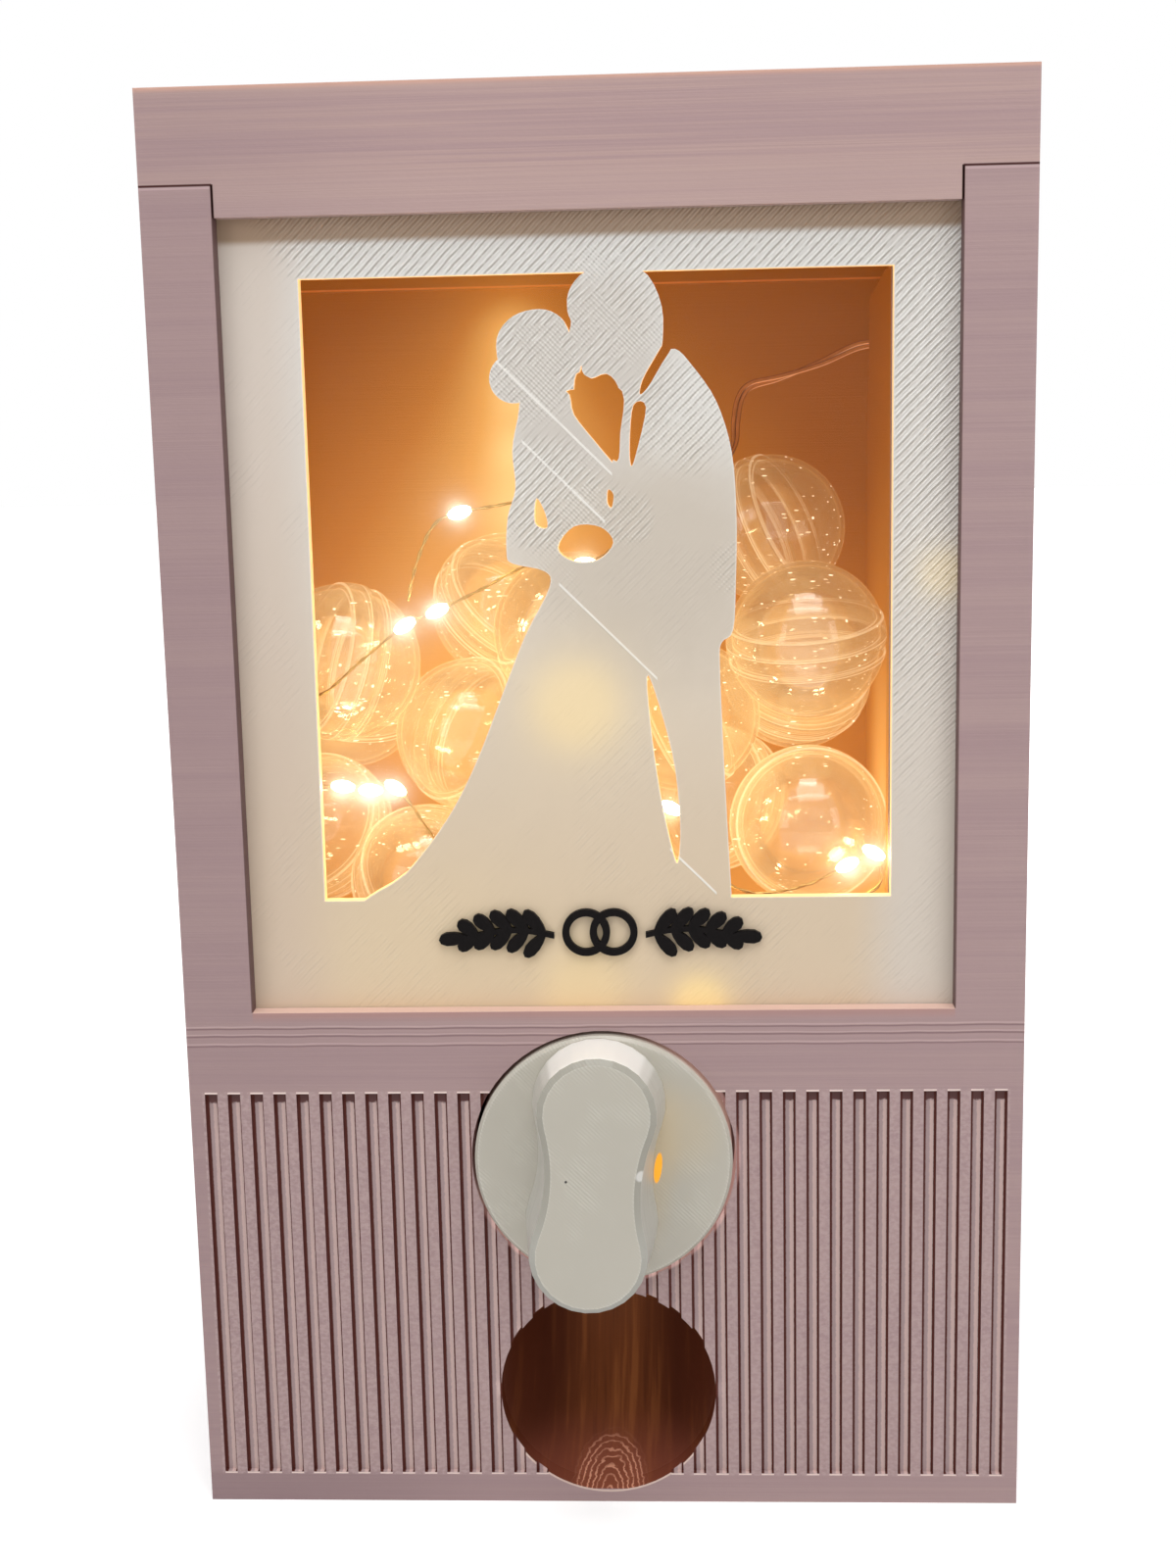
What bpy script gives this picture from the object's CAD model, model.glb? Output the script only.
from math import cos, pi, radians, sin, sqrt

import bmesh
import bpy
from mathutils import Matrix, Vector


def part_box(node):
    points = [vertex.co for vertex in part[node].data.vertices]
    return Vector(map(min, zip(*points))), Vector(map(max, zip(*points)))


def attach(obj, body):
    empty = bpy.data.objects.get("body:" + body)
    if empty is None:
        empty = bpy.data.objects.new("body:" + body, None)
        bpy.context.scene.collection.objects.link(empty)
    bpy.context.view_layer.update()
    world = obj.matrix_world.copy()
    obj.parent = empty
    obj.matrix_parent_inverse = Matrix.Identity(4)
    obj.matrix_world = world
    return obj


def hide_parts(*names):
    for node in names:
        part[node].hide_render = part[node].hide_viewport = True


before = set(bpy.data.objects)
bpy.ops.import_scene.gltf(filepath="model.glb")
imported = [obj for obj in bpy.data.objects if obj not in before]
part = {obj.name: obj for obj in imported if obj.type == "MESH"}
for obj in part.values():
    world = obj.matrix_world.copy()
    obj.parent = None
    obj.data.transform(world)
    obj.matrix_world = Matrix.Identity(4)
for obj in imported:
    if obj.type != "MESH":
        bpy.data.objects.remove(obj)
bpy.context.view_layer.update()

MM = 0.001

# Camera
# It stands where the photograph was taken: 0.4 m in front, a little to the right, tilted ten degrees down.
camera = bpy.data.objects.new("camera", bpy.data.cameras.new("camera"))
bpy.context.collection.objects.link(camera)
camera.location = (0.01719, -0.42551, 0.21716)
camera.rotation_euler = (radians(79.994), radians(1.170), radians(2.600))
camera.data.sensor_fit = "VERTICAL"
camera.data.sensor_height = 36
camera.data.lens = 46.46
camera.data.clip_start = 0.01
bpy.context.scene.camera = camera
bpy.context.scene.view_settings.view_transform = "Standard"
# Many clear halves lie one behind the other, so a ray has to pass a lot of them.
bpy.context.scene.cycles.transparent_max_bounces = 28
bpy.context.scene.cycles.max_bounces = 6
bpy.context.scene.cycles.diffuse_bounces = 3

# Light string
# A clear twin lead leaves the battery case, crosses the bay wall and is spliced to a thin varnished
# copper wire. Resin drops on that wire hold the lamps. It hangs in the gap between pane and capsules.

# The points that they pass, in millimetres, and the numbers of the points of the wire where the drops sit.
LEAD = [
    (70, 20, 163), (70, 20, 173), (70, 21, 186), (69.5, 26, 202), (69, 32, 217), (66.5, 36.5, 228),
    (62, 37.8, 233.5), (56.5, 37, 233.6), (48, 34, 230), (39, 30, 227), (32.5, 27, 225.4),
    (30, 25, 222.5), (29, 23, 217.5), (28.5, 20, 212.5), (25.5, 14, 208), (20, 8, 206),
]
WIRE = [
    (18, 6, 205.4), (13, -8, 202), (7, -21, 197), (2, -29.5, 192.5), (-2, -31.2, 191), (-7, -31.9, 192),
    (-14, -31.9, 190.5), (-22, -31.9, 186.5), (-31, -31.2, 182.3), (-37.5, -31.2, 179.5), (-46, -31.9, 173),
    (-55, -31.9, 166), (-60, -31.9, 170), (-60.5, -31.2, 190), (-61, -31.9, 211), (-64, -31.9, 217),
    (-66.5, -31.9, 211), (-67, -31.9, 190), (-66.5, -31.2, 171), (-66, -31.9, 158), (-62, -31.9, 150.5),
    (-57, -31.9, 148.2), (-51, -31.2, 147.6), (-45.5, -31.2, 146.8), (-40.5, -31.2, 147.2), (-35, -31.9, 140),
    (-29.5, -31.9, 129), (-36, -31.9, 122.5), (-49, -31.9, 121.5), (-61, -31.9, 123), (-66, -31.9, 120),
    (-61, -31.9, 116.5), (-48, -31.2, 114), (-32, -31.9, 111), (-16, -31.9, 109), (2, -31.9, 108),
    (20, -31.2, 108.5), (37, -31.9, 116.5), (50, -31.9, 123.5), (55.5, -31.9, 127), (54.2, -31.2, 133),
    (49, -31.2, 130.6), (40, -31.9, 126.5), (29, -31.9, 125.5), (20, -31.9, 132), (14.2, -31.2, 142.5),
    (4, -31.9, 139.5), (-9, -31.9, 137), (-20, -31.9, 137.5), (-24, -31.9, 141.5), (-17, -31.9, 145),
    (-8, -31.9, 148.5), (-11, -31.9, 158), (-4, -31.2, 167), (8, -31.9, 172), (16, -31.9, 182),
    (17, -31.9, 195), (8, -31.9, 204), (-4, -31.9, 206), (-16, -31.9, 203), (-26, -31.2, 201.3),
    (-31, -31.9, 199), (-34.5, -31.9, 192), (-36.6, -31.9, 184.5),
]
BEADS = (4, 8, 9, 13, 18, 22, 23, 24, 32, 36, 40, 41, 45, 53, 60)


class Value:
    """One output of a node, which takes Python's arithmetic and adds the Math nodes for it."""

    def __init__(self, finish, socket):
        self.finish, self.socket = finish, socket

    def maths(self, operation, *others):
        return self.finish.node("Math", {"operation": operation}, self, *others)

    def capped(self):
        """The value, but 1 at the most."""
        return self.maths("MINIMUM", 1.0)

    def __add__(self, other):
        return self.maths("ADD", other)

    def __sub__(self, other):
        return self.maths("SUBTRACT", other)

    def __mul__(self, other):
        return self.maths("MULTIPLY", other)

    def __truediv__(self, other):
        return self.maths("DIVIDE", other)

    def __pow__(self, other):
        return self.maths("POWER", other)

    def __gt__(self, other):
        return self.maths("GREATER_THAN", other)

    def __lt__(self, other):
        return self.maths("LESS_THAN", other)

    def __radd__(self, other):
        return self.finish.node("Math", {"operation": "ADD"}, other, self)

    def __rsub__(self, other):
        return self.finish.node("Math", {"operation": "SUBTRACT"}, other, self)

    def __rmul__(self, other):
        return self.finish.node("Math", {"operation": "MULTIPLY"}, other, self)

    def __rtruediv__(self, other):
        return self.finish.node("Math", {"operation": "DIVIDE"}, other, self)


class Finish:
    """A material that is built up node by node around one Principled shader."""

    def __init__(self, name, **uniform):
        self.material = bpy.data.materials.new(name)
        self.material.use_nodes = True
        self.tree = self.material.node_tree
        self.tree.nodes.clear()
        self.end = self.tree.nodes.new("ShaderNodeOutputMaterial")
        self.shader = self.tree.nodes.new("ShaderNodeBsdfPrincipled")
        self.tree.links.new(self.shader.outputs[0], self.end.inputs[0])
        self.set(**uniform)

    def set(self, **values):
        """Sets or links sockets of the Principled shader, named in lower case with _ for a space."""
        for name, value in values.items():
            self.plug(self.shader.inputs[name.replace("_", " ").title().replace("Ior", "IOR")], value)

    def plug(self, socket, value):
        """Links a value to a socket, or sets the socket to a number, a colour or a vector."""
        if isinstance(value, Value):
            self.tree.links.new(value.socket, socket)
        elif isinstance(value, tuple) and len(value) == 3 and socket.type == "RGBA":
            socket.default_value = (*value, 1)
        else:
            socket.default_value = value

    def node(self, kind, settings=None, *values, out=0, **named):
        """Adds a node with its settings, then its sockets' values or links, and gives one output."""
        made = self.tree.nodes.new("ShaderNode" + kind)
        for key, value in (settings or {}).items():
            if key == "stops":
                ramp = made.color_ramp
                while len(ramp.elements) < len(value):
                    ramp.elements.new(0.5)
                for element, (place, colour) in zip(ramp.elements, value):
                    element.position = place
                    element.color = (*colour, 1)
            else:
                setattr(made, key, value)
        for socket, value in zip(made.inputs, values):
            self.plug(socket, value)
        for name, value in named.items():
            self.plug(made.inputs[name.replace("_", " ").title()], value)
        return Value(self, made.outputs[out])

    def blend(self, share, low, high, kind="RGBA"):
        """Mixes two colours, or two directions with the kind VECTOR, by a share from 0 to 1."""
        first, out = {"RGBA": (6, 2), "VECTOR": (4, 1)}[kind]
        made = self.tree.nodes.new("ShaderNodeMix")
        made.data_type = kind
        for index, value in ((0, share), (first, low), (first + 1, high)):
            self.plug(made.inputs[index], value)
        return Value(self, made.outputs[out])

    def mix(self, share, low, high):
        """Mixes the shaders of two nodes by a share from 0 to 1."""
        made = self.tree.nodes.new("ShaderNodeMixShader")
        self.plug(made.inputs[0], share)
        self.tree.links.new(low.outputs[0], made.inputs[1])
        self.tree.links.new(high.outputs[0], made.inputs[2])
        return made

    def times(self, vector, factors):
        """A vector with each part multiplied by its own factor."""
        return self.node("VectorMath", {"operation": "MULTIPLY"}, vector, factors)

    def split(self, vector):
        """The x, y and z of a vector."""
        parts = self.node("SeparateXYZ", {}, vector).socket.node
        return [Value(self, socket) for socket in parts.outputs]

    def spot(self):
        """The point on the piece, in millimetres."""
        return self.times(self.node("TexCoord", out=3), (1 / MM, 1 / MM, 1 / MM))

    def place(self):
        """The point on the piece in millimetres, as a vector and as its x, y and z."""
        spot = self.spot()
        return (spot, *self.split(spot))

    def normal(self):
        """The way the surface faces."""
        return self.node("NewGeometry", out=1)

    def dot(self, one, other):
        """How far two directions agree: 1 where they are the same."""
        return self.node("VectorMath", {"operation": "DOT_PRODUCT"}, one, other, out=1)

    def apart(self, spot, point):
        """The distance of a point on the piece from a given one."""
        return self.node("VectorMath", {"operation": "DISTANCE"}, spot, point, out=1)

    def noise(self, spot, stretch, detail=2.0, rough=0.5):
        """Noise from 0 to 1. Its cells are 1 / stretch long on each axis."""
        if not isinstance(stretch, tuple):
            stretch = (stretch,) * 3
        spot = self.times(spot, stretch)
        return self.node("TexNoise", {}, vector=spot, scale=1.0, detail=detail, roughness=rough)

    def step(self, value, low, high, start=0.0, stop=1.0):
        """Runs smoothly from start to stop while the value goes from low to high."""
        return self.node("MapRange", {"interpolation_type": "SMOOTHSTEP"}, value, low, high, start, stop)

    def stripe(self, value, middle, half):
        """1 on a narrow stripe of a value and 0 beyond it."""
        return self.step((value - middle).maths("ABSOLUTE"), half * 0.6, half * 1.4, 1.0, 0.0)

    def bump(self, height, depth, **more):
        """Bumps of a depth in millimetres where the height is 1."""
        return self.node("Bump", {}, strength=1.0, distance=depth * MM, height=height, **more)


def srgb(r, g, b):
    """A colour as it is read off a screen, in the linear values that a shader takes."""
    return tuple(c / 255 / 12.92 if c < 10.3 else ((c / 255 + 0.055) / 1.055) ** 2.4 for c in (r, g, b))


def smooth_line(points, steps):
    """Points along a smooth curve through the given ones, in metres."""
    points = [Vector(p) * MM for p in points]
    line = []
    for i in range(len(points) - 1):
        a, b, c, d = (points[min(max(i + k, 0), len(points) - 1)] for k in (-1, 0, 1, 2))
        for s in range(steps):
            t = s / steps
            slow, fast = 2 * a - 5 * b + 4 * c - d, 3 * b - a - 3 * c + d
            line.append(0.5 * (2 * b + (c - a) * t + slow * t * t + fast * t ** 3))
    return line + [points[-1]]


def make_piece(name, shape, finish, body):
    """Puts a bmesh into the scene as a named smooth piece that rides on a body."""
    mesh = bpy.data.meshes.new(name)
    bmesh.ops.recalc_face_normals(shape, faces=shape.faces)
    shape.to_mesh(mesh)
    shape.free()
    for face in mesh.polygons:
        face.use_smooth = True
    piece = bpy.data.objects.new(name, mesh)
    bpy.context.collection.objects.link(piece)
    mesh.materials.append(finish.material)
    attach(piece, body)
    return piece


def dress(finish, *names):
    """Gives CAD nodes a finish."""
    for name in names:
        part[name].data.materials.clear()
        part[name].data.materials.append(finish.material)


def circle(sides):
    """The corners of a polygon with a radius of 1, as pairs of numbers."""
    return [(cos(2 * pi * j / sides), sin(2 * pi * j / sides)) for j in range(sides)]


def strands(line, count, offset, radius, pitch, sides=8):
    """Mesh of thin strands that twist round a line, with closed ends."""
    shape = bmesh.new()
    across = Vector((0.3, 0.2, 1))  # any direction that the line doesn't start in
    frames, run = [], 0.0
    for i, point in enumerate(line):
        along = (line[min(i + 1, len(line) - 1)] - line[max(i - 1, 0)]).normalized()
        across = (across - along * across.dot(along)).normalized()
        frames.append((point, across.copy(), along.cross(across), run))
        if i < len(line) - 1:
            run += (line[i + 1] - point).length
    for k in range(count):
        rings = []
        for point, u, v, way in frames:
            turn = 2 * pi * (k / count + way / pitch)
            middle = point + offset * (cos(turn) * u + sin(turn) * v)
            rings.append([shape.verts.new(middle + radius * (a * u + b * v)) for a, b in circle(sides)])
        for low, high in zip(rings, rings[1:]):
            for j in range(sides):
                shape.faces.new((low[j], low[(j + 1) % sides], high[(j + 1) % sides], high[j]))
        shape.faces.new(rings[0])
        shape.faces.new(rings[-1])
    return shape


copper = Finish("varnished copper", metallic=1.0, roughness=0.28)
worn = copper.noise(copper.spot(), 0.5, 3)
copper.set(base_color=copper.blend(worn, srgb(168, 120, 62), srgb(232, 196, 120)))

lead_sleeve = Finish("clear lead sleeve", roughness=0.2, coat_weight=0.6)
cloud = lead_sleeve.noise(lead_sleeve.spot(), 0.4)
_, fore, upward = lead_sleeve.split(lead_sleeve.normal())
dark_edge = lead_sleeve.step(fore.maths("ABSOLUTE"), 0.75, 0.45)
lit_edge = lead_sleeve.step(upward, -0.35, -0.75)
sleeve = lead_sleeve.blend(cloud, srgb(150, 86, 36), srgb(186, 118, 62))
sleeve = lead_sleeve.blend(dark_edge, sleeve, srgb(92, 42, 12))
sleeve = lead_sleeve.blend(lit_edge, sleeve, srgb(246, 184, 132))
lead_sleeve.set(base_color=sleeve, emission_color=sleeve, emission_strength=0.45)

lead_line = smooth_line(LEAD, 5)
lead_mesh = strands(lead_line, 2, offset=0.5 * MM, radius=0.5 * MM, pitch=60 * MM)
lead = make_piece("lead", lead_mesh, lead_sleeve, "housing")
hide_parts("light_lead")

wire_line = smooth_line(WIRE, 5)
wire_mesh = strands(wire_line, 2, offset=0.2 * MM, radius=0.2 * MM, pitch=7 * MM, sides=6)
wire = make_piece("wire", wire_mesh, copper, "housing")
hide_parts("light_wire")

lamp_glow = Finish("lit resin drop", base_color=srgb(255, 240, 205), roughness=0.15, emission_strength=26.0)
core = lamp_glow.noise(lamp_glow.spot(), 1.5)
lamp_glow.set(emission_color=lamp_glow.blend(core, (1.0, 0.78, 0.42), (1.0, 0.9, 0.62)))


def lathe(shape, profile, sides, at, axis):
    """Adds a turned form to a bmesh. The profile has radii and heights, and both its ends are on the axis."""
    turn = Vector((0, 0, 1)).rotation_difference(axis).to_matrix()
    rings = []
    for radius, height in profile:
        corners = circle(sides) if radius else [(0, 0)]
        rings.append([
            shape.verts.new(at + turn @ Vector((radius * a, radius * b, height))) for a, b in corners
        ])
    for low, high in zip(rings, rings[1:]):
        for j in range(sides):
            here, there = low[j % len(low)], low[(j + 1) % len(low)]
            above = high[(j + 1) % len(high)], high[j % len(high)]
            shape.faces.new(list(dict.fromkeys((here, there, *above))))


# Radii and heights of a drop of resin, from the end where the wire comes in to the other.
DROP = (
    (0, -2.4), (0.45, -2.3), (0.8, -1.9), (1.1, -1.2), (1.26, -0.3), (1.26, 0.4), (1.05, 1.3), (0.7, 2),
    (0.35, 2.35), (0, 2.4),
)
drops = bmesh.new()
for i in BEADS:
    along = Vector(WIRE[i + 1]) - Vector(WIRE[i - 1])
    lathe(drops, [(r * MM, h * MM) for r, h in DROP], 16, Vector(WIRE[i]) * MM, along)
beads = make_piece("resin_drops", drops, lamp_glow, "housing")
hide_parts("light_beads")

splice_sleeve = Finish("shrink sleeve", roughness=0.5)
scuffed = splice_sleeve.noise(splice_sleeve.spot(), 1)
splice_sleeve.set(base_color=splice_sleeve.blend(scuffed, (0.35, 0.3, 0.24), (0.55, 0.48, 0.4)))
dress(splice_sleeve, "light_splice")

# Floor, backdrop and lamps
# A pale table and a white surround. Both look brighter than the light they give, so the lamps do the
# shading: soft ones above the front, overhead and behind, weaker ones at both sides and a narrow strip.
SEEN_BY = ("Is Camera Ray", "Is Glossy Ray", "Is Transmission Ray")
white_table = Finish("white table", roughness=0.9, specular_ior_level=0.1)
spot = white_table.spot()
grain = white_table.noise(spot, 0.05, 3)
white_table.set(base_color=white_table.blend(grain, (0.80, 0.80, 0.80), (0.83, 0.83, 0.83)))
rays = white_table.tree.nodes.new("ShaderNodeLightPath")
seen = [Value(white_table, rays.outputs[kind]) for kind in SEEN_BY]
shows = (seen[0] + seen[1] + seen[2]) > 0.5
away = white_table.node("VectorMath", {"operation": "LENGTH"}, spot, out=1)
shine = shows * white_table.step(away, 60, 900, 0.45, 1.0)
white_table.set(emission_color=white_table.blend(shine, (0, 0, 0), (1, 1, 1)), emission_strength=1.0)

table = bmesh.new()
bmesh.ops.create_grid(table, x_segments=2, y_segments=2, size=6)
mesh = bpy.data.meshes.new("table")
table.to_mesh(mesh)
table.free()
mesh.materials.append(white_table.material)
floor = bpy.data.objects.new("table", mesh)
bpy.context.collection.objects.link(floor)

world = bpy.data.worlds.new("surround")
bpy.context.scene.world = world
world.use_nodes = True
nodes, links = world.node_tree.nodes, world.node_tree.links
nodes.clear()
rays = nodes.new("ShaderNodeLightPath")
seen = rays.outputs[SEEN_BY[0]]
for kind in SEEN_BY[1:]:
    either = nodes.new("ShaderNodeMath")
    either.operation = "MAXIMUM"
    links.new(seen, either.inputs[0])
    links.new(rays.outputs[kind], either.inputs[1])
    seen = either.outputs[0]
level = nodes.new("ShaderNodeMapRange")
links.new(seen, level.inputs["Value"])
level.inputs["To Min"].default_value = 0.4
level.inputs["To Max"].default_value = 1.0
sky = nodes.new("ShaderNodeBackground")
sky.inputs["Color"].default_value = (1, 1, 1, 1)
links.new(level.outputs[0], sky.inputs["Strength"])
end = nodes.new("ShaderNodeOutputWorld")
links.new(sky.outputs[0], end.inputs["Surface"])


def soft_lamp(name, place, aim, size, power):
    """A rectangular lamp that looks at a point."""
    lamp = bpy.data.lights.new(name, "AREA")
    lamp.shape = "RECTANGLE"
    lamp.size, lamp.size_y = size
    lamp.energy = power
    stand = bpy.data.objects.new(name, lamp)
    bpy.context.collection.objects.link(stand)
    stand.location = place
    stand.rotation_euler = (Vector(aim) - Vector(place)).to_track_quat("-Z", "Y").to_euler()


soft_lamp("top_lamp", (0.05, -0.55, 1.05), (0, 0, 0.18), (0.7, 0.5), 3.3)
soft_lamp("overhead_lamp", (0, -0.2, 1.1), (0, -0.05, 0.1), (0.4, 0.25), 2.2)
soft_lamp("back_lamp", (0.2, 1.1, 0.9), (0, 0, 0.14), (0.8, 0.6), 4.0)
soft_lamp("left_lamp", (-0.9, -0.9, 0.5), (0, 0, 0.15), (0.6, 0.6), 2.0)
soft_lamp("right_lamp", (0.9, -0.8, 0.5), (0, 0, 0.15), (0.6, 0.6), 2.0)
soft_lamp("strip_lamp", (0, -0.5, 0.8), (0, 0, 0.18), (0.9, 0.05), 0.6)

# Housing
# One tall print in dusty pink: pillars, grooved front, deck, bay wall. The lines of its layers run level.
# The lamps behind the pane colour the hopper's walls a warm orange, and shadows sit in every joint.
FRONT = -42.5  # its front face
BEHIND_PANEL = -38.0  # a little behind the panel's front
DECK, LEDGE = 101.4, 104.3  # the hopper's floor and the ledge that the panel stands on
LIP_FOOT, JOINT, LID_TOP = 256.6, 262.5, 280.0  # the lid's lip, the body's top and the lid's own
PILLARS = 69.0  # half the width between the pillars
GROOVE, PITCH = 2.5, 4.6  # a groove's width, and the way from one groove to the next
GROOVE_FOOT, GROOVE_HEAD, RIBBED_SIDE = 6.0, 87.8, 80.0  # the grooves' ends, and how far out they lie
OUTLET_HEIGHT, OUTLET_RADIUS = 24.3, 21.95  # the middle of the round outlet, and its rim
DIAL_HEIGHT, DIAL_GAP = 73.9, 26.4  # the middle of the dial, and the radius of the gap round it

# Where the string lights most: x, y, z, reach and weight. The last four light a strip of the back wall.
GLOWS = (
    (-22, 16, 194, 28, 0.57), (-46, 10, 148, 34, 1.05), (50, 0, 132, 30, 0.72), (12, 0, 148, 26, 0.95),
    (-20, 39.6, 238, 8, 0.55), (-20, 39.6, 226, 8, 0.45), (-20, 39.6, 212, 8, 0.4), (-20, 39.6, 198, 8, 0.35),
)


def warmth(finish, spot):
    """How strongly the lamps of the string light a point."""
    total = 0.0
    for gx, gy, gz, reach, weight in GLOWS:
        total = weight / (1 + (finish.apart(spot, (gx, gy, gz)) / reach) ** 2) + total
    return total


def layer_lines(finish, spot):
    """Bump of printed layers that run level, some of them proud."""
    fine = finish.noise(spot, (0.02, 0.02, 3.4), 2, 0.6)
    broad = finish.noise(spot, (0.015, 0.015, 0.8), 3, 0.6)
    blobs = finish.noise(spot, (0.8, 0.8, 2.2), 2)
    return finish.bump(fine * 0.7 + broad * 0.7 + blobs * 0.35, 0.05)


pink_print = Finish("dusty pink print", roughness=0.55, specular_ior_level=0.15)
spot, x, y, z = pink_print.place()
side = x.maths("ABSOLUTE")
band = pink_print.noise(spot, (0.004, 0.004, 0.18), 3, 0.6)
streak = pink_print.noise(spot, (0.014, 0.014, 1.9), 3, 0.6)
tone = pink_print.step(band * 0.55 + streak * 0.45, 0.36, 0.64)
pillar = pink_print.blend(tone, srgb(169, 143, 144), srgb(177, 151, 149))
lid_tone = pink_print.blend(tone, srgb(172, 145, 146), srgb(187, 159, 153))
forward = y < BEHIND_PANEL
lip = (z > LIP_FOOT - 0.1) * (side < PILLARS - 0.1) * forward
outer = pink_print.blend(((z > JOINT) + lip).capped(), pillar, lid_tone)
outer = pink_print.blend(lip * pink_print.step(z, 266, 261) * 0.6, outer, srgb(189, 162, 156))

fore = y < FRONT + 0.08
outer = pink_print.blend(fore * pink_print.step(x, -20, -80) * 0.32, outer, srgb(150, 126, 128))
outer = pink_print.blend(pink_print.step(z, LID_TOP - 1.2, LID_TOP) * fore * 0.7, outer, srgb(222, 172, 150))

# The ledge, and the proud and the sunk layers in the plain band below it, as heights and half heights.
between = side < PILLARS
under_ledge = pink_print.step(z, LEDGE - 2.5, LEDGE - 0.1) * (z < LEDGE - 0.05) * between * fore
outer = pink_print.blend(under_ledge * 0.55, outer, srgb(184, 138, 128))
outer = pink_print.blend((z > LEDGE - 0.1) * (z < LEDGE + 0.2) * between, outer, srgb(224, 190, 176))
wavy = z + pink_print.noise(spot, (0.1, 0.1, 0.01), 2) * 0.5 - 0.25
for share, colour, layers in (
    (0.6, srgb(120, 92, 96), ((100.95, 0.16), (99.4, 0.18), (97.4, 0.14))),
    (0.5, srgb(206, 178, 176), ((101.4, 0.14), (99.8, 0.12), (97.85, 0.16))),
):
    for height, half in layers:
        outer = pink_print.blend(pink_print.stripe(wavy, height, half) * fore * share, outer, colour)
foot = pink_print.step(z, 7, 5.6) * pink_print.step(x, 0, -60)
outer = pink_print.blend(foot * 0.4, outer, srgb(132, 110, 114))

# Grooves: pale ribs with blobs on them, floors lit on their right half, and dark lines on both sides.
across = ((x / PITCH + 0.5).maths("FRACT") - 0.5) * PITCH
in_groove = across.maths("ABSOLUTE") < GROOVE / 2 + 0.02
in_field = side < RIBBED_SIDE
ribbed = (z > GROOVE_FOOT - 0.2) * (z < GROOVE_HEAD + 0.2) * in_field * (y < FRONT + 1.3)
blobs = pink_print.noise(spot, (1.1, 1.1, 1.5), 3, 0.6)
outer = pink_print.blend(ribbed * pink_print.step(blobs, 0.35, 0.65, 0.0, 0.7), outer, srgb(187, 163, 161))
sunk = ribbed * in_groove * (y > FRONT + 0.04) * (z < GROOVE_HEAD - 0.2) * (z > GROOVE_FOOT + 0.2)
edge_left = pink_print.step(across + blobs * 0.16, -0.72, -0.5, 1, 0)
edge_right = pink_print.step(across + blobs * 0.16, 0.86, 0.98)
lit_side = pink_print.step(across + blobs * 0.5, 0.15, 0.45)
outer = pink_print.blend(sunk, outer, pink_print.blend(lit_side, srgb(188, 164, 164), srgb(224, 196, 190)))
outer = pink_print.blend(sunk * pink_print.step(z + blobs, 85.7, 86.1), outer, srgb(112, 78, 76))
outer = pink_print.blend(sunk * (edge_left + edge_right).capped(), outer, srgb(98, 52, 46))
head = pink_print.stripe(z, GROOVE_HEAD - 0.08, 0.17)
lit_ends = (head + pink_print.stripe(z, GROOVE_FOOT + 0.1, 0.15)).capped()
outer = pink_print.blend(lit_ends * in_groove * fore * in_field, outer, srgb(236, 214, 206))


def tube_tone(finish, spot, x, y, z):
    """Dark brown of the outlet, with its streaks and, low in front, the lit steps of its layers in arcs."""
    streak = finish.noise(spot, (0.35, 0.02, 0.004), 3, 0.7)
    middle = finish.step(x.maths("ABSOLUTE"), 15, 2)
    tone = finish.blend(middle, srgb(66, 28, 14), srgb(106, 56, 27))
    tone = finish.blend(finish.step(streak, 0.5, 0.66) * (middle * 0.5 + 0.12), tone, srgb(142, 84, 44))
    tone = finish.blend(finish.step(streak, 0.48, 0.34) * 0.4, tone, srgb(60, 25, 12))
    rise = (z - 2.5) + (y - FRONT) * 0.22
    tone = finish.blend(finish.step(rise, 13, 2) * 0.6, tone, srgb(118, 62, 48))
    wavy = finish.noise(spot, 0.5, 2)
    way = ((x / 7.6) ** 2.0 + (rise / 6.8) ** 2.0).maths("SQRT") * 9 + wavy * 1.8
    lit = finish.step(way, 10.8, 8.2) * finish.step(rise, 9, 1.5, 0.35, 1.0)
    layer = 1.25
    arcs = finish.step((way * (2 * pi / layer)).maths("SINE"), 0.3, 0.95)
    tone = finish.blend(lit * 0.6, tone, srgb(132, 74, 56))
    return finish.blend(lit * arcs * finish.step(wavy, 0.35, 0.55, 0.45, 1.0), tone, srgb(200, 140, 114))


bore = (x * x + (z - OUTLET_HEIGHT) * (z - OUTLET_HEIGHT)).maths("SQRT")
inside = y > FRONT + 0.06
in_bore = (bore < OUTLET_RADIUS) * inside * (z < 47) * (y < -12)
bore_tone = tube_tone(pink_print, spot, x, y, z)
outer = pink_print.blend(in_bore, outer, bore_tone)
rim = pink_print.stripe(bore, OUTLET_RADIUS, 0.2) * fore * (z < 14)
outer = pink_print.blend(rim * 0.8, outer, srgb(232, 206, 192))

# Dark joints round the lid, beside its lip and beside the panel.
joint = pink_print.stripe(z, JOINT, 0.2) * ((side > PILLARS - 0.15) + (y > BEHIND_PANEL)).capped()
slit = pink_print.stripe(side, PILLARS - 0.15, 0.26) * (z > LIP_FOOT) * (z < JOINT + 0.1) * forward
rebate = pink_print.stripe(side, PILLARS, 0.16) * (z > LEDGE) * (z < LIP_FOOT) * forward * 0.75
outer = pink_print.blend((joint + slit + rebate).capped(), outer, srgb(66, 34, 32))
below_joint = pink_print.stripe(z, JOINT - 0.5, 0.22) * (side > PILLARS + 0.2) * fore
outer = pink_print.blend(below_joint * 0.5, outer, srgb(204, 176, 178))

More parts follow.
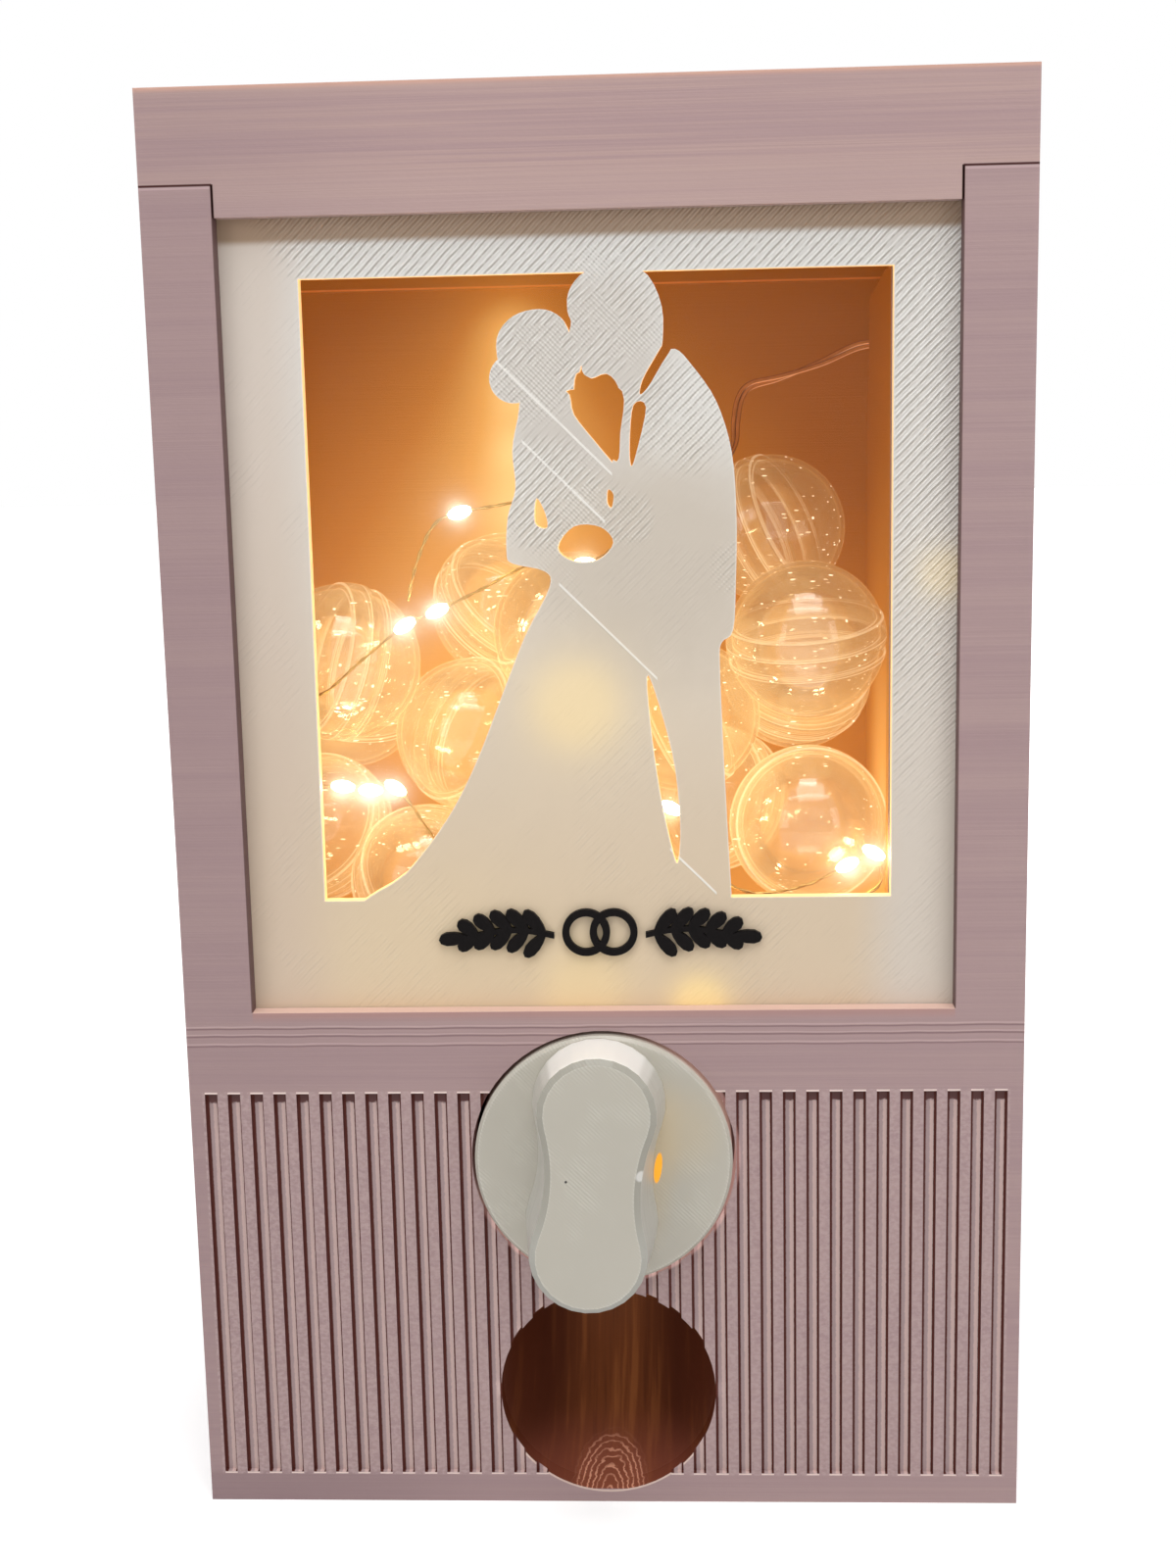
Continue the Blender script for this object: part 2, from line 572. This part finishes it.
round_dial = (x * x + (z - DIAL_HEIGHT) * (z - DIAL_HEIGHT)).maths("SQRT")
dial_gap = pink_print.stripe(round_dial, DIAL_GAP, 0.7) * inside * (y < -34)
gap_tone = pink_print.blend(pink_print.step(z - x, 70, 100), srgb(128, 98, 92), srgb(40, 22, 18))

# Inside the hopper the colour and the glow follow the warmth. A pale edge runs round the lid's plug.
heat = warmth(pink_print, spot)
level = pink_print.node("MapRange", {}, heat, 0.05, 1.3)
inner_colour = pink_print.blend(level, srgb(130, 70, 12), srgb(196, 146, 74))
inner_glow = pink_print.node(
    "ValToRGB",
    {"stops": [
        (0, srgb(86, 40, 4)), (0.22, srgb(116, 64, 14)), (0.45, srgb(160, 100, 36)),
        (0.7, srgb(206, 152, 78)), (1, srgb(248, 216, 146)),
    ]},
    level,
)
plug_edge = pink_print.stripe(z, 248.3, 0.22) * (y > 20)
inner_colour = pink_print.blend(plug_edge * 0.8, inner_colour, srgb(236, 160, 96))
shut_in = (y > -31.5) * (y < 39.6) * (z > DECK - 0.4) * (z < LID_TOP - 2) * (side < 79.6)
outer_glow = pink_print.blend(in_bore * 0.35, (0, 0, 0), bore_tone)
outer_glow = pink_print.blend(dial_gap, outer_glow, gap_tone)
pink_print.set(
    base_color=pink_print.blend(shut_in, outer, inner_colour),
    emission_color=pink_print.blend(shut_in, outer_glow, inner_glow),
    emission_strength=1.0,
    normal=layer_lines(pink_print, spot),
)
dress(pink_print, "body", "lid", "hopper_funnel", "rear_cover", "drum_sleeve")

# Front panel and its ornament
# A white sheet, printed flat, stands in slots between the pillars. The lines of its infill run aslant, bold
# in places and faint elsewhere, and the lamps behind shine through in soft spots. The ornament on it is a
# black print, and so is the switch of the battery case.
PANEL_FACE = -38.8
LINE_PITCH = 0.66  # between two lines of infill, at right angles to them
white_sheet = Finish("white sheet print", roughness=0.45, specular_ior_level=0.3)
spot, x, y, z = white_sheet.place()
sway = white_sheet.noise(spot, 0.12, 2) * 6
patch = white_sheet.noise(spot, 0.09, 3, 0.6)
dashes = white_sheet.noise(spot, 0.5, 2, 0.6)
per_length = 2 * pi / LINE_PITCH / sqrt(2)
slant = (x - z) * per_length + sway
up_right = slant.maths("SINE") * 0.7 + (slant * 0.5 + dashes * 4).maths("SINE") * 0.5
up_left = ((x + z) * per_length + sway).maths("SINE")

# Round places with bold lines: x, z, reach, weight of all lines and share of those that rise to the left.
BOLD = (
    (-11, 229, 13, 0.9, 0.7), (5, 239, 14, 0.8, 0.7), (17, 219, 13, 0.9, 0.2), (-8, 204, 13, 0.9, 0.6),
    (6, 200, 7, 0.7, 0.2), (27, 190, 7, 0.5, 0.3), (34, 150, 9, 0.4, 0.3), (-8, 186, 8, 0.3, 0.5),
)
bold, crossed = 0.0, 0.0
for gx, gz, reach, leaning, crossing in BOLD:
    distance = white_sheet.apart(spot, (gx, PANEL_FACE, gz))
    near = white_sheet.step(distance + patch * 8 - 4, reach * 1.15, reach * 0.55)
    bold = (near * leaning).maths("MAXIMUM", bold) if bold else near * leaning
    crossed = (near * crossing).maths("MAXIMUM", crossed) if crossed else near * crossing
top_strip = white_sheet.step(z, 244.6, 246.4) * white_sheet.step(x + z * 0.6, 86, 98)
right_strip = white_sheet.step(x, 56.6, 57.6) * white_sheet.step(z + patch * 60, 150, 235)
faint = white_sheet.step(patch, 0.42, 0.66, 0.03, 0.3)
bold = bold.maths("MAXIMUM", top_strip).maths("MAXIMUM", right_strip).maths("MAXIMUM", faint)
bold = bold * white_sheet.step(dashes, 0.25, 0.55, 0.55, 1.0)
crossed = crossed * white_sheet.step(patch, 0.44, 0.56)
relief = up_right * bold * (1 - crossed) + up_left * crossed * 0.7

# Single proud lines of infill, which rise to the left: their x + z, and from which x to which they run.
SEAMS = ((212.2, -18, 4), (201.8, -13, 2.5), (181.2, -6.5, 12), (149.8, 14, 23))
seams = 0.0
for total, start, stop in SEAMS:
    seams = white_sheet.stripe(x + z, total, 0.3) * (x > start) * (x < stop) + seams
plain = white_sheet.normal()
corner = white_sheet.node("Bevel", {"samples": 4}, radius=0.5 * MM)
rim_line = white_sheet.step(white_sheet.dot(corner, plain), 0.985, 0.86)

# The base colour, then what lies over it: a share from 0 to 1 and a colour.
low_down = white_sheet.step(z, 240, 118)
torso = white_sheet.apart(spot, (12, PANEL_FACE, 192)) + patch * 16
heads = white_sheet.apart(spot, (-2, PANEL_FACE, 228)) + patch * 10
under_lip = white_sheet.step(z, 251.4, 253.0)
sheet_colour = white_sheet.blend(low_down, srgb(224, 221, 216), srgb(217, 197, 171))
for share, colour in (
    (white_sheet.step(x, -48, -62) * 0.6, srgb(208, 188, 171)),
    (white_sheet.step(x, 48, 60) * 0.6, srgb(214, 208, 202)),
    (white_sheet.step(torso, 42, 18) * 0.75, srgb(200, 188, 173)),
    (white_sheet.step(heads, 28, 17) * 0.8, srgb(206, 198, 189)),
    (white_sheet.step(relief, 0.1, 0.95) * 0.85, srgb(250, 248, 243)),
    (white_sheet.step(relief, -0.1, -0.95) * 0.8, srgb(166, 158, 149)),
    ((seams * 0.8 + rim_line * 0.75).capped(), srgb(250, 246, 239)),
    (under_lip * 0.85, srgb(162, 132, 104)),
):
    sheet_colour = white_sheet.blend(share, sheet_colour, colour)
flank = white_sheet.step(white_sheet.split(plain)[1].maths("ABSOLUTE"), 0.3, 0.7, 1, 0)

# Spots where a lamp shines through: x, z, reach and weight.
SPOTS = (
    (-3.8, 164.4, 9.5, 0.62), (66.5, 188.5, 4.8, 0.42), (19.5, 104.8, 5.6, 0.95), (-3, 107, 9, 0.45),
    (-34, 112, 22, 0.15),
)
spots = 0.0
for gx, gz, reach, weight in SPOTS:
    spots = weight / (1 + (white_sheet.apart(spot, (gx, PANEL_FACE, gz)) / reach) ** 4) + spots
spots = spots.capped()
sheet_colour = white_sheet.blend(spots * 0.7, sheet_colour, srgb(242, 212, 154))
glow = white_sheet.blend(spots, (0.004, 0.003, 0.001), (0.2, 0.15, 0.035))
white_sheet.set(
    base_color=white_sheet.blend(flank, sheet_colour, srgb(238, 206, 150)),
    emission_color=white_sheet.blend(flank, glow, (0.62, 0.4, 0.17)),
    emission_strength=1.0,
    normal=white_sheet.bump(relief + seams, 0.07),
)
dress(white_sheet, "front_panel")

black_print = Finish("black print", roughness=0.5, specular_ior_level=0.08)
spot = black_print.spot()
worn = black_print.noise(spot, 0.8)
black_print.set(
    base_color=black_print.blend(worn, (0.002, 0.0015, 0.0015), (0.008, 0.006, 0.006)),
    normal=black_print.bump(black_print.noise(spot, 2), 0.05),
)
dress(black_print, "panel_ornament", "battery_switch")

# Window pane
# A clear acrylic sheet that drops into its own slots behind the panel. It blurs each lamp into a halo.
PANE_FACE = -34.8
clear_pane = Finish("clear pane", base_color=(1, 1, 1), roughness=0.05, specular_ior_level=0.05)
spot = clear_pane.spot()
haze = clear_pane.noise(spot, 0.03, 3)
halo = 0.0
for i in BEADS:
    halo = 0.9 / (1 + (clear_pane.apart(spot, (WIRE[i][0], PANE_FACE, WIRE[i][2])) / 2.2) ** 3) + halo
halo = halo.capped()
clear_pane.set(
    alpha=haze * 0.01 + 0.004 + halo * 0.45,
    emission_color=clear_pane.blend(halo, (0, 0, 0), (1.0, 0.78, 0.42)),
    emission_strength=1.6,
)
dress(clear_pane, "window_pane")

# Dial and knob
# The dial is the front end of the drum, and the waisted knob is pegged into it. Both are white prints.
# A slot in the dial beside the knob's waist lets an orange light through.
DIAL_FACE = -44.0
KNOB_LINES = 0.62  # between two lines of the print, at right angles to them
SLIT_X, SLIT_Z, SLIT_HALF_W, SLIT_HALF_H = 10.8, 72.4, 0.8, 3.3  # its middle, and half its width and height
SLIT_LEAN = 0.12  # how far it goes to the right on each millimetre upward
knob_print = Finish("white knob print", roughness=0.34, specular_ior_level=0.5)
spot, x, y, z = knob_print.place()
lines = ((x + z) * (2 * pi / (KNOB_LINES * sqrt(2)))).maths("SINE") * 0.5 + 0.5
cloud = knob_print.noise(spot, 0.03, 2)
hatch = lines * knob_print.step(knob_print.noise(spot, 0.12, 2), 0.45, 0.7)
knob_colour = knob_print.blend(cloud, srgb(185, 179, 165), srgb(194, 189, 177))
knob_colour = knob_print.blend(hatch * 0.3, knob_colour, srgb(214, 211, 200))

# The knob's wall is softly rounded and white where it looks up. Strokes of the print and a rim lie round the
# front, and a scar and a speck on it.
plain = knob_print.normal()
rounded = knob_print.node("Bevel", {"samples": 8}, radius=1.8 * MM)
corner = knob_print.node("Bevel", {"samples": 4}, radius=0.4 * MM)
facing = knob_print.split(plain)[1]
upward = knob_print.split(rounded)[2]
foremost = facing < -0.97
chamfer = knob_print.step(facing, -0.97, -0.9) * knob_print.step(facing, -0.3, -0.4) * (y < DIAL_FACE - 2)
wall = knob_print.step(facing, -0.45, -0.25) * (y < DIAL_FACE - 0.5)
ripple = knob_print.noise(spot, (0.1, 0.9, 0.1), 2)
wall_tone = knob_print.blend(ripple, srgb(188, 186, 176), srgb(214, 212, 204))
chamfer_tone = knob_print.blend(knob_print.step(z, 72, 58), srgb(164, 160, 148), srgb(176, 174, 165))
strokes = lines * knob_print.step(knob_print.dot(rounded, plain), 0.995, 0.93) * foremost
rim = knob_print.step(knob_print.dot(corner, plain), 0.99, 0.9) * foremost
scar = knob_print.apart(spot, (7.6, -58.2, 76.2))
speck = knob_print.apart(spot, (-6.6, -59, 75.3))
for share, colour in (
    (wall, wall_tone),
    (wall * knob_print.step(upward, 0.45, 0.8), srgb(252, 252, 248)),
    (chamfer, chamfer_tone),
    (strokes * 0.6, srgb(218, 216, 207)),
    (rim * 0.7, srgb(224, 221, 212)),
    (knob_print.step(scar, 1.4, 0.8) * 0.8, srgb(236, 234, 228)),
    (knob_print.step(speck, 0.32, 0.2), srgb(40, 34, 30)),
):
    knob_colour = knob_print.blend(share, knob_colour, colour)

# The slit, the warm tint round it and the light that the drum's side gets in its bore.
off_x = (x - SLIT_X - (z - SLIT_Z) * SLIT_LEAN) / SLIT_HALF_W
off_z = (z - SLIT_Z) / SLIT_HALF_H
from_slit = (off_x ** 2.0 + off_z ** 2.0).maths("SQRT")
on_dial = (y > DIAL_FACE - 0.3) * (y < DIAL_FACE + 0.3)
slit = knob_print.step(from_slit, 1.05, 0.85) * on_dial
warm_right = knob_print.apart(spot, (14, DIAL_FACE, 80))
near_slit = knob_print.step(from_slit, 7, 1) * 0.25 + knob_print.step(warm_right, 13, 3) * 0.25
tint = near_slit * on_dial * (x > 8)
drum_side = (y > DIAL_FACE + 0.4) * knob_print.step(facing, -0.7, -0.5) * knob_print.step(z - x, 100, 75)
knob_colour = knob_print.blend(tint, knob_colour, srgb(222, 194, 142))
knob_glow = knob_print.blend(slit, (0, 0, 0), srgb(184, 122, 12))
knob_print.set(
    base_color=knob_print.blend(slit, knob_colour, srgb(230, 160, 20)),
    emission_color=knob_print.blend(drum_side, knob_glow, srgb(92, 72, 66)),
    emission_strength=1.0,
    normal=knob_print.bump(hatch, 0.05, normal=knob_print.blend(wall, plain, rounded, "VECTOR")),
)
dress(knob_print, "dial_drum", "knob")

# Chute
# A bent printed tube below the drum. It is dark inside, with the streaks of its layers down the back and,
# where the light reaches its floor, the pinkish steps of the layers in arcs.
tube_print = Finish("dark chute print", roughness=0.5)
spot, x, y, z = tube_print.place()
tube_colour = tube_tone(tube_print, spot, x, y, z)
tube_print.set(base_color=tube_colour, emission_color=tube_colour, emission_strength=0.4)
tube_print.set(normal=layer_lines(tube_print, spot))
dress(tube_print, "chute")

# Capsules
# Clear moulded balls in two halves, the cap slipped over the cup's rim. The band's edges, the joint in it
# and the rim inside show as thin bright lines, and small flashes of the lamps lie all over.
CAPSULES = 15
BAND = 4.0  # half the width of the band
RINGS = ((BAND, 0.17), (0.3, 0.14), (-3.1, 0.1), (-BAND, 0.17))  # heights and half widths of the lines


def clear_ball(number):
    """The finish of one capsule, whose rings lie round the line from its cup to its cap."""
    halves = [f"capsule_{number}_cup", f"capsule_{number}_cap"]
    corners = [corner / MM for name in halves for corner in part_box(name)]
    middle = tuple((min(c[k] for c in corners) + max(c[k] for c in corners)) / 2 for k in range(3))
    meshes = [part[name].data for name in halves]
    cup, cap = (sum((v.co for v in mesh.vertices), Vector()) / len(mesh.vertices) for mesh in meshes)
    axis = (cap - cup).normalized()
    ball = Finish(f"clear capsule {number}", roughness=0.08, specular_ior_level=0.5)
    spot = ball.spot()
    from_middle = ball.node("VectorMath", {"operation": "SUBTRACT"}, spot, middle)
    height = ball.dot(from_middle, tuple(axis))
    rings = 0.0
    for at, half in RINGS:
        rings = ball.stripe(height, at, half) + rings
    rings = rings.capped()
    banded = height.maths("ABSOLUTE") < BAND
    dots = ball.node("TexVoronoi", {}, vector=spot, scale=0.22)
    flecks = ball.node("TexVoronoi", {}, vector=ball.times(spot, (0.16, 0.3, 0.9)), scale=1.0)
    some = ball.noise(spot, 0.13, 1)
    round_flash = ball.step(dots, 0.1, 0.05) * ball.step(some, 0.52, 0.58)
    flash = round_flash + ball.step(flecks, 0.14, 0.09) * ball.step(some, 0.48, 0.42)
    rim = ball.node("LayerWeight", {}, 0.5, out=1)
    heat = warmth(ball, spot)
    scuff = ball.step(ball.noise(spot, 0.25, 3, 0.6), 0.45, 0.8)
    haze_colour = ball.blend(ball.step(heat, 0.15, 1.2), srgb(148, 98, 46), srgb(236, 200, 136))
    ball.set(
        base_color=ball.blend(ball.step(heat, 0.2, 1.2), srgb(178, 146, 100), srgb(220, 194, 144)),
        emission_color=ball.blend((rings * 0.3 + flash).capped(), haze_colour, (1.5, 1.3, 0.9)),
        emission_strength=1.0,
    )
    cloudiness = rim ** 6.0 * 0.3 + ball.step(rim, 0.9, 0.99) * 0.3 + 0.1 + scuff * 0.08 + banded * 0.05

    # Clear plastic lets light through and mirrors some. Over that lies the haze of the Principled shader.
    bare = ball.tree.nodes.new("ShaderNodeBsdfTransparent")
    bare.inputs["Color"].default_value = (0.99, 0.97, 0.94, 1)
    mirror = ball.tree.nodes.new("ShaderNodeBsdfGlossy")
    mirror.inputs["Roughness"].default_value = 0.03
    glass = ball.mix(ball.node("Fresnel", {}, 1.5).maths("MINIMUM", 0.4), bare, mirror)
    cloudy = ball.mix((cloudiness + rings * 0.3 + flash).capped(), glass, ball.shader)
    ball.tree.links.new(cloudy.outputs[0], ball.end.inputs[0])
    dress(ball, *halves)


for number in range(1, CAPSULES + 1):
    clear_ball(number)

# Battery case, cells and small metal
# A bought-in white plastic case for three cells stands in the bay behind the right pillar. The drum hangs on
# one screw with a washer, and more screws hold the rear cover. They and the case's contacts are zinc plated.
case_plastic = Finish("white case plastic", roughness=0.4)
spot = case_plastic.spot()
case_plastic.set(
    base_color=case_plastic.blend(case_plastic.noise(spot, 0.1), (0.72, 0.72, 0.7), (0.8, 0.8, 0.78)),
    normal=case_plastic.bump(case_plastic.noise(spot, 3), 0.02),
)
dress(case_plastic, "battery_case", "battery_cover")

cell_sleeve = Finish("dark cell sleeve", roughness=0.3, metallic=0.4)
copper_end = cell_sleeve.step(cell_sleeve.place()[3], 138, 139)
cell_sleeve.set(base_color=cell_sleeve.blend(copper_end, (0.02, 0.022, 0.025), (0.5, 0.3, 0.12)))
dress(cell_sleeve, "battery_cells")

zinc = Finish("zinc plate", metallic=1.0, roughness=0.3)
zinc.set(base_color=zinc.blend(zinc.noise(zinc.spot(), 1.5), (0.5, 0.5, 0.5), (0.68, 0.68, 0.66)))
dress(zinc, "drum_washer", "drum_screw", "rear_cover_screws", "battery_contacts")
